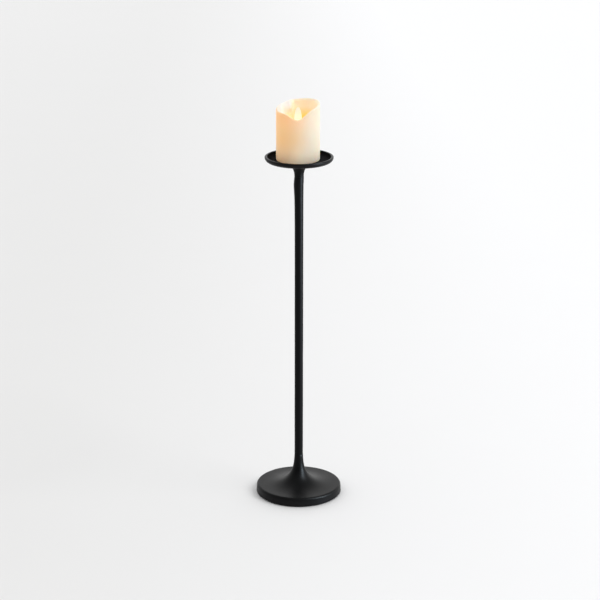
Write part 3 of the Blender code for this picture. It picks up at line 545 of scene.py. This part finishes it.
stemTune = {
    "segments": 72,
    "rows": 420,
    "endChamfer": 0.1 * mm,
    "radius": 7.5 * mm,
    "swelling": 2.1 * mm,
    "drop": 14.0 * mm,
    "halfLength": 20.0 * mm,
    "lean": 0.34,
    "spigot": 5.5 * mm,
    "hole": 3.3 * mm,
    "lowHole": 17.3 * mm,
    "highHole": 21.0 * mm,
    "unevenness": 0.13 * mm,
}


def makeStem(iron):
    tune = stemTune
    low = neckTop + gap
    high = dishBottom - gap
    peak = high - tune["drop"]

    def growth(z):
        # the forged swelling, as extra width at this height
        away = (z - peak) / tune["halfLength"]
        return tune["swelling"] / (1.0 + away * away)

    def hammered(point):
        z = point.z
        across = Vector((point.x, point.y, 0.0))
        if across.length < tune["spigot"] + gap:
            return point
        lump = noise.noise(Vector((point.x * 70.0, point.y * 70.0, z * 16.0)))
        dent = noise.noise(Vector((point.x * 160.0, point.y * 160.0, z * 60.0 + 5.0)))
        fade = min(1.0, max(0.0, (high - z) / tune["drop"]))
        lean = tune["lean"] * growth(z) * fade
        out = across.normalized() * tune["unevenness"] * (lump + 0.4 * dent) * fade
        return point + out - Vector((lean, 0.0, 0.0))

    steps = tune["rows"]
    sides = []
    for step in range(steps + 1):
        z = low + (high - low) * step / steps
        radius = tune["radius"] + growth(z) / 2
        if step in (0, steps):
            radius -= tune["endChamfer"]
        sides.append((radius, z))
    outline = [(0.0, low + tune["lowHole"]), (tune["hole"], low + tune["lowHole"]),
               (tune["hole"], stemBox[0].z), (tune["spigot"], stemBox[0].z), (tune["spigot"], low)]
    outline += sides
    outline += [(tune["spigot"], high), (tune["spigot"], stemBox[1].z), (tune["hole"], stemBox[1].z),
                (tune["hole"], high - tune["highHole"]), (0.0, high - tune["highHole"])]
    rings = turnedRings(outline, tune["segments"], hammered)
    return addPiece("forgedStem", ringLoft(rings), iron, "holder", ["stem"])


dishTune = {
    "segments": 256,
    "depth": 6.6 * mm,
    "bossHeight": 26.3 * mm,
    "bossFlare": 26.3 * mm,
    "bossRadius": 8.2 * mm,
    "bossPower": 2.2,
    "lipHalf": 2.3 * mm,
    "lipCrown": 1.3 * mm,
    "wallLean": 7.5 * mm,
    "floorRound": 4.0 * mm,
    "floorFall": 0.3 * mm,
    "seatRadius": 41.2 * mm,
    "sinkRadius": 6.6 * mm,
    "screwHole": 3.3 * mm,
    "socketRadius": 5.8 * mm,
    "socketDepth": 20.3 * mm,
    "wellEdge": 0.8,
    "unevenness": 0.14 * mm,
    "lumps": 45.0,
}


def makeDish(iron, wellShadeIron):
    tune = dishTune
    floor = lipTop - tune["depth"]
    boss = hollowCurve(tune["bossRadius"] + tune["bossFlare"], tune["bossRadius"],
                       tune["bossHeight"], tune["bossPower"], 28)
    boss = [(r, dishBottom + tune["bossHeight"] - z) for r, z in reversed(boss)]
    lipR = dishRadius - tune["lipHalf"]
    lipZ = lipTop - tune["lipCrown"]
    underZ = dishBottom + tune["bossHeight"]
    footR = dishRadius - tune["wallLean"]
    flat = straightPoints(boss[-1], (footR, underZ), 5)
    turns = [radians(turn) for turn in range(0, 88, 8)]
    wall = [(footR + tune["wallLean"] * sin(turn), lipZ - (lipZ - underZ) * cos(turn))
            for turn in turns]
    lip = [(lipR + tune["lipHalf"] * cos(turn), lipZ + tune["lipCrown"] * sin(turn))
           for turn in (pi * step / 20 for step in range(21))]
    wellR = dishRadius - 2 * tune["lipHalf"] - tune["floorRound"]
    well = arcPoints(wellR, floor + tune["floorRound"], tune["floorRound"], 0, -90, 10)
    sinkTop = floor - tune["floorFall"]
    seat = (tune["seatRadius"], floor)
    inner = [seat] + straightPoints(seat, (tune["sinkRadius"], sinkTop), 8)
    sinkDepth = tune["sinkRadius"] - tune["screwHole"]
    middle = [(tune["sinkRadius"], sinkTop), (tune["screwHole"], sinkTop - sinkDepth),
              (tune["screwHole"], dishBottom + tune["socketDepth"]),
              (tune["socketRadius"], dishBottom + tune["socketDepth"]),
              (tune["socketRadius"], dishBottom)]
    outline = boss + flat + wall + lip + well + inner + middle
    rings = turnedRings(outline, tune["segments"], castDrift(tune["unevenness"], tune["lumps"]))
    piece = addPiece("castDish", ringLoft(rings, closed=True), iron, "holder", ["dish"])
    # painted shade: the well inside the lip gets a dead-matt, barely reflective copy of the iron, darker
    # to stand in for the shade there
    piece.data.materials.append(wellShadeIron.material)
    wellOut = lipR - tune["wellEdge"] * tune["lipHalf"]
    for face in piece.data.polygons:
        reach = hypot(face.center.x, face.center.y)
        inWell = face.center.z > floor - mm and tune["sinkRadius"] < reach < wellOut
        face.material_index = 1 if inWell else 0
    return piece


# ---- the candle

candleTune = {
    "segments": 300,
    "bore": 34.5 * mm,
    "ceiling": 60.0 * mm,
    "floor": 65.0 * mm,
    "floorRadius": 24.0 * mm,
    "crest": 2.4 * mm,
    "meanRim": 94.5 * mm,
    "tilt": 7.5 * mm,
    "tiltTowards": 50.0,
    "dip": 11.2 * mm,
    "dipAt": 271.0,
    "dipSpread": 18.5,
    "slotLength": 13.0 * mm,
    "slotWidth": 4.4 * mm,
    "lampTilt": 35.0,
    "lampHole": 3.1 * mm,
    "lampTip": (0.0, -12.6 * mm, 59.5 * mm),
    "lampRun": 22.0 * mm,
    "lampShift": 8.4 * mm,
    "slotDepth": 8.0 * mm,
    "slotRound": 1.6 * mm,
    "boreEdge": 0.4 * mm,
    "boreKnee": 30.0 * mm,
    "footRound": 2.6 * mm,
    "broadCrest": 1.6 * mm,
    "brinkIn": 1.6 * mm,
    "brinkDown": 2.6 * mm,
    "broadIn": 11.5 * mm,
    "broadDown": 7.5 * mm,
    "floorFall": 0.25 * mm,
    "unevenness": 0.20 * mm,
}


def turnAway(angle, centre):
    return (angle - centre + 180.0) % 360.0 - 180.0


def hump(angle, centre, spread):
    return exp(-0.5 * (turnAway(angle, centre) / spread) ** 2)


def rimHeight(angle):
    # a tilted edge with a deep melted dip in front, a tip and a sag at the back, and a slow ripple
    tune = candleTune
    height = tune["meanRim"] + tune["tilt"] * cos(radians(angle - tune["tiltTowards"]))
    height -= tune["dip"] * hump(angle, tune["dipAt"], tune["dipSpread"])
    height += 0.9 * mm * hump(angle, 113.0, 9.0) - 1.5 * mm * hump(angle, 84.0, 20.0)
    height += 0.35 * mm * sin(radians(angle * 5.0 + 20.0))
    return height


def eased(share):
    share = min(max(share, 0.0), 1.0)
    return share * share * (3.0 - 2.0 * share)


def lobe(angle):
    # how much of the broad unmelted shoulder stands at this side; it breaks off short at the back
    return eased((angle - 99.0) / 28.0) * (1.0 - eased((angle - 188.0) / 62.0))


def waxColumn(angle):
    # one upright slice of the wax, from the ceiling's edge out and over the rim to the bowl's floor
    tune = candleTune
    rim = rimHeight(angle)
    outer = candleRadius
    bore = tune["bore"]
    edge = tune["boreEdge"]
    column = [(bore - 2.0 * mm, tune["ceiling"]), (bore - 0.6 * mm, tune["ceiling"] - 0.6 * mm),
              (bore, tune["ceiling"] - 2.0 * mm), (bore, tune["boreKnee"]), (bore, edge),
              (bore + edge, 0.0)]
    footRound = tune["footRound"]
    column += arcPoints(outer - footRound, footRound, footRound, -90, 0, 8)
    broad = lobe(angle)
    crestWidth = tune["crest"] + tune["broadCrest"] * broad
    shoulder = rim - 0.8 * crestWidth
    column += straightPoints((outer, footRound), (outer, shoulder), 44)
    crest = outer - crestWidth
    for step in range(9):
        turn = pi / 2 * step / 8
        column.append((crest + (outer - crest) * cos(turn), shoulder + (rim - shoulder) * sin(turn)))
    # down the inner side: a rounded brink, then the melted wall
    brinkR = crest - tune["brinkIn"] - tune["broadIn"] * broad
    brinkZ = rim - tune["brinkDown"] - tune["broadDown"] * broad
    for step in range(1, 15):
        share = step / 14
        sag = share ** (1.5 + 0.9 * broad)
        column.append((crest + (brinkR - crest) * share, rim + (brinkZ - rim) * sag))
    floorR = min(tune["floorRadius"], brinkR - 4.0 * mm)
    floor = tune["floor"]
    for step in range(1, 19):
        share = step / 18
        drop = (1.0 - share) ** (1.35 - 0.15 * broad)
        lean = share ** 2.4
        column.append((brinkR + (floorR - brinkR) * lean, floor + (brinkZ - floor) * drop))
    for share in (0.86, 0.7, 0.5, 0.3, 0.15):
        column.append((floorR * share, floor - tune["floorFall"] * (1.0 - share)))
    return column


def waxDrift(point):
    # soft hand-poured unevenness of the outer wall and the rim; the bore and the floor stay true
    tune = candleTune
    across = Vector((point.x, point.y, 0.0))
    lump = noise.noise(Vector((point.x * 30.0, point.y * 30.0, point.z * 18.0)))
    small = noise.noise(point * 95.0 + Vector((2.0, 9.0, 4.0)))
    moved = across.length > tune["bore"] + 0.1 * mm or point.z > tune["floor"] + mm
    amount = tune["unevenness"] if moved else 0.0
    return point - across.normalized() * amount * (0.5 + lump + 0.3 * small)


def makeWaxBody(wax):
    tune = candleTune
    count = tune["segments"]
    columns = []
    for step in range(count):
        angle = 360.0 * step / count
        turn = radians(angle)
        columns.append([waxDrift(Vector((r * cos(turn), r * sin(turn), z)))
                        for r, z in waxColumn(angle)])
    rings = [[column[level] for column in columns] for level in range(len(columns[0]))]
    rings = [[Vector((0.0, 0.0, tune["ceiling"]))]] + rings
    rings += [[Vector((0.0, 0.0, tune["floor"] - tune["floorFall"]))]]
    shape = ringLoft(rings)
    stand = Vector((candleX, 0.0, candleBottom))
    bmesh.ops.translate(shape, verts=shape.verts, vec=stand)
    piece = addPiece("waxBody", shape, wax, "candle", ["wax_shell"], sharp=60.0)
    slot = bmesh.new()
    place = Matrix.Translation(stand + Vector((0.0, 0.0, (tune["ceiling"] + tune["floor"]) / 2)))
    size = Matrix.Diagonal((tune["slotLength"], tune["slotWidth"], tune["slotDepth"], 1.0))
    bmesh.ops.create_cube(slot, size=1.0, matrix=place @ size)
    bmesh.ops.bevel(slot, geom=[edge for edge in slot.edges
                                if abs(edge.verts[0].co.z - edge.verts[1].co.z) > mm],
                    offset=tune["slotRound"], segments=4, affect="EDGES")
    cutAway(piece, slot)
    beam = bmesh.new()
    lean = Matrix.Rotation(-radians(tune["lampTilt"]), 4, "X")
    tip = Matrix.Translation(stand + Vector(tune["lampTip"]))
    bmesh.ops.create_cone(beam, cap_ends=True, segments=32, radius1=tune["lampHole"],
                          radius2=tune["lampHole"], depth=tune["lampRun"],
                          matrix=tip @ lean @ Matrix.Translation((0.0, 0.0, tune["lampShift"])))
    cutAway(piece, beam)


flameTune = {
    "pivot": 55.0 * mm,
    "stemTop": 8.0 * mm,
    "belly": 16.0 * mm,
    "height": 36.7 * mm,
    "halfWidth": 6.4 * mm,
    "stemHalf": 2.0 * mm,
    "shoulder": 1.8,
    "bluntness": 0.5,
    "halfThick": 0.7 * mm,
    "hole": 0.8 * mm,
    "rows": 60,
    "around": 28,
    "flatness": 0.55,
    "drillLength": 4.0 * mm,
}


def flameHalf(z):
    # half the tab's width at this height above the pivot
    tune = flameTune
    if z <= tune["stemTop"]:
        return tune["stemHalf"]
    if z <= tune["belly"]:
        share = (z - tune["stemTop"]) / (tune["belly"] - tune["stemTop"])
        smooth = 0.5 - 0.5 * cos(pi * share)
        return tune["stemHalf"] + (tune["halfWidth"] - tune["stemHalf"]) * smooth
    share = (z - tune["belly"]) / (tune["height"] - tune["belly"])
    return tune["halfWidth"] * max(1.0 - share ** tune["shoulder"], 0.0) ** tune["bluntness"]


def makeFlame(film):
    tune = flameTune
    bottom = flameBox[0].z - candleBottom - tune["pivot"]
    rings = []
    rows = tune["rows"]
    around = tune["around"]
    for row in range(rows + 1):
        share = sin(pi / 2 * row / rows)
        z = bottom + (tune["height"] - 0.02 * mm - bottom) * share
        half = flameHalf(z)
        thick = tune["halfThick"] * min(1.0, 0.45 + half / (2.2 * tune["stemHalf"]) * 0.55)
        ring = []
        for step in range(around):
            turn = 2 * pi * step / around
            side = cos(turn)
            face = sin(turn)
            flat = abs(face) ** tune["flatness"] * (1 if face >= 0 else -1)
            ring.append(Vector((half * side, thick * flat, z)))
        rings.append(ring)
    rings = [[Vector((0.0, 0.0, bottom))]] + rings + [[Vector((0.0, 0.0, tune["height"]))]]
    shape = ringLoft(rings)
    pivot = Vector((candleX, 0.0, candleBottom + tune["pivot"]))
    bmesh.ops.translate(shape, verts=shape.verts, vec=pivot)
    piece = addPiece("flameTab", shape, film, "flame", ["flame"])
    drill = bmesh.new()
    bmesh.ops.create_cone(drill, cap_ends=True, segments=24, radius1=tune["hole"],
                          radius2=tune["hole"], depth=tune["drillLength"],
                          matrix=Matrix.Translation(pivot) @ Matrix.Rotation(pi / 2, 4, "X"))
    cutAway(piece, drill)


# ---- studio

studioTune = {
    "cameraX": 1.86 * mm,
    "cameraBack": 3243.9 * mm,
    "cameraHeight": 1415.3 * mm,
    "cameraPitch": 17.981,
    "cameraRoll": 0.09,
    "lens": 116.6,
    "floorRadius": 30.0,
    "floorDimTone": (0.735, 0.734, 0.731),
    "floorLitTone": (0.885, 0.889, 0.899),
    "skyTop": 0.86,
    "skySide": 0.80,
    "skyBack": 1.05,
    "skyFront": 0.62,
    "skySlant": 0.45,
    "keyFrom": (0.95, -0.35, 0.95),
    "keyPower": 1.0,
    "keyAngle": 34.0,
    "stripPlace": (2.1, -1.3, 1.5),
    "stripWidth": 0.7,
    "stripHeight": 1.8,
    "stripPower": 130.0,
    "stripColor": (0.76, 0.89, 1.0),
    "lowPlace": (1.9, -0.75, 0.32),
    "lowWidth": 0.5,
    "lowHeight": 0.6,
    "lowPower": 65.0,
}


def makeFloor():
    paper = Finish("studioFloor")
    spot = paper.spot()
    x, y = paper.axes(spot)[:2]
    cloud = paper.grain(spot, 6.0, 2.0)
    # painted light: the floor is painted brighter towards the right and towards the back, where more
    # light falls; a little random cloud on top
    side = x.rise(-0.7, 0.75) + y.rise(0.4, 6.0) * 0.22
    share = side * 0.95 + cloud * 0.05
    paper.set(Base_Color=paper.mix(studioTune["floorDimTone"], studioTune["floorLitTone"], share))
    paper.set(Roughness=0.9 + (cloud - 0.5) * 0.1, Specular_IOR_Level=0.1)
    shape = bmesh.new()
    bmesh.ops.create_circle(shape, cap_ends=True, segments=96, radius=studioTune["floorRadius"])
    mesh = bpy.data.meshes.new("floor")
    shape.to_mesh(mesh)
    shape.free()
    floor = bpy.data.objects.new("floor", mesh)
    mesh.materials.append(paper.material)
    bpy.context.scene.collection.objects.link(floor)


def makeSky():
    # brightest low down behind the object, softer overhead, darkest low down in front of it
    tune = studioTune
    world = bpy.data.worlds.new("studio")
    world.use_nodes = True
    sky = Graph(world.node_tree)
    way = sky.put("TexCoord", out="Generated")
    x, y, z = sky.axes(way)
    low = 1.0 - z.rise(0.15, 0.85)
    back = y.rise(-0.1, 0.8)
    front = (-y).rise(0.1, 0.9)
    level = tune["skyTop"] + low * (tune["skySide"] - tune["skyTop"])
    level = level + low * back * (tune["skyBack"] + x * tune["skySlant"])
    level = level - low * front * tune["skyFront"]
    background = world.node_tree.nodes["Background"]
    sky.feed(background.inputs["Color"], (1.0, 1.0, 1.0))
    sky.feed(background.inputs["Strength"], level)
    bpy.context.scene.world = world


def addKey():
    tune = studioTune
    light = bpy.data.lights.new("key", "SUN")
    light.energy = tune["keyPower"]
    light.angle = radians(tune["keyAngle"])
    lamp = bpy.data.objects.new("key", light)
    lamp.rotation_euler = Vector(tune["keyFrom"]).to_track_quat("Z", "Y").to_euler()
    bpy.context.scene.collection.objects.link(lamp)


def addStrip(name, place, width, height, power, lit):
    # soft box that only draws a long highlight on the coated iron
    light = bpy.data.lights.new(name, "AREA")
    light.shape = "RECTANGLE"
    light.size = width
    light.size_y = height
    light.energy = power
    light.color = studioTune["stripColor"]
    lamp = bpy.data.objects.new(name, light)
    lamp.visible_diffuse = False
    lamp.light_linking.receiver_collection = lit
    lamp.location = place
    lamp.rotation_euler = Vector(place).to_track_quat("Z", "Y").to_euler()
    bpy.context.scene.collection.objects.link(lamp)


def addStrips(pieces):
    tune = studioTune
    lit = bpy.data.collections.new("litByStrips")
    for piece in pieces:
        lit.objects.link(piece)
    addStrip("strip", tune["stripPlace"], tune["stripWidth"], tune["stripHeight"],
             tune["stripPower"], lit)
    addStrip("lowStrip", tune["lowPlace"], tune["lowWidth"], tune["lowHeight"],
             tune["lowPower"], lit)


def makeCamera():
    tune = studioTune
    lens = bpy.data.cameras.new("camera")
    lens.lens = tune["lens"]
    lens.sensor_width = 36.0
    lens.clip_end = 100.0
    camera = bpy.data.objects.new("camera", lens)
    roll = Matrix.Rotation(radians(tune["cameraRoll"]), 4, "Z")
    pitch = Matrix.Rotation(radians(90.0 - tune["cameraPitch"]), 4, "X")
    place = Matrix.Translation((tune["cameraX"], -tune["cameraBack"], tune["cameraHeight"]))
    camera.matrix_world = place @ pitch @ roll
    bpy.context.scene.collection.objects.link(camera)
    bpy.context.scene.camera = camera


def makeStudio():
    makeFloor()
    makeSky()
    addKey()
    bpy.context.scene.view_settings.view_transform = "Standard"
    makeCamera()


makeStudio()
print("studio ready")

iron = makeIron("coatedIron", ironTune["rough"], ironTune["specular"])
# painted shade: a darker, dead-matt copy of the iron for the dish's well
wellShadeIron = makeIron("wellShadeCoat", ironTune["insideRough"], ironTune["insideSpecular"])
addStrips([makeFoot(iron), makeStem(iron), makeDish(iron, wellShadeIron)])
print("holder ready")

wax = makeWax()
makeWaxBody(wax)
makeFlame(makeFlameFilm())
print("candle ready")

zinc = makeMetal("zincSteel", (0.62, 0.62, 0.60), (0.50, 0.50, 0.49), 0.34)
oxide = makeMetal("blackOxide", (0.045, 0.045, 0.05), (0.02, 0.02, 0.022), 0.42)
copper = makeMetal("copperWire", (0.76, 0.35, 0.16), (0.62, 0.25, 0.10), 0.3, (1.0, 1.0, 9.0))
ivory = makeMoulding("ivoryMoulding", (0.74, 0.66, 0.52), (0.66, 0.58, 0.45), 0.45)
black = makeMoulding("blackMoulding", (0.03, 0.03, 0.032), (0.016, 0.016, 0.017), 0.42)
sleeve = makeMoulding("cellSleeve", (0.05, 0.13, 0.09), (0.035, 0.09, 0.06), 0.3)
board = makeMoulding("boardLacquer", (0.03, 0.17, 0.07), (0.02, 0.11, 0.045), 0.35)
resin = makeMoulding("lampResin", (0.95, 0.88, 0.70), (0.92, 0.80, 0.58), 0.12)
resin.set(Emission_Color=(1.0, 0.72, 0.36), Emission_Strength=3.0)
dress(makeFelt(), "felt_pad")
dress(zinc, "base_bolt", "base_washer", "base_spring_washer", "contact_bridge",
      "contact_plate_positive", "contact_plate_negative", "contact_spring_1", "contact_spring_2",
      "board_screw_1", "board_screw_2", "mechanism_screw_1", "mechanism_screw_2",
      "pivot_wire", "coil_core", "flame_magnet")
dress(oxide, "dish_screw")
dress(copper, "coil_winding")
dress(ivory, "battery_tray", "battery_door")
dress(black, "switch_knob", "switch_body", "control_chip", "mechanism_base", "flame_tower",
      "coil_bobbin", "led_holder")
dress(sleeve, "battery_1", "battery_2")
dress(board, "circuit_board")
dress(resin, "led")
print("small pieces dressed")
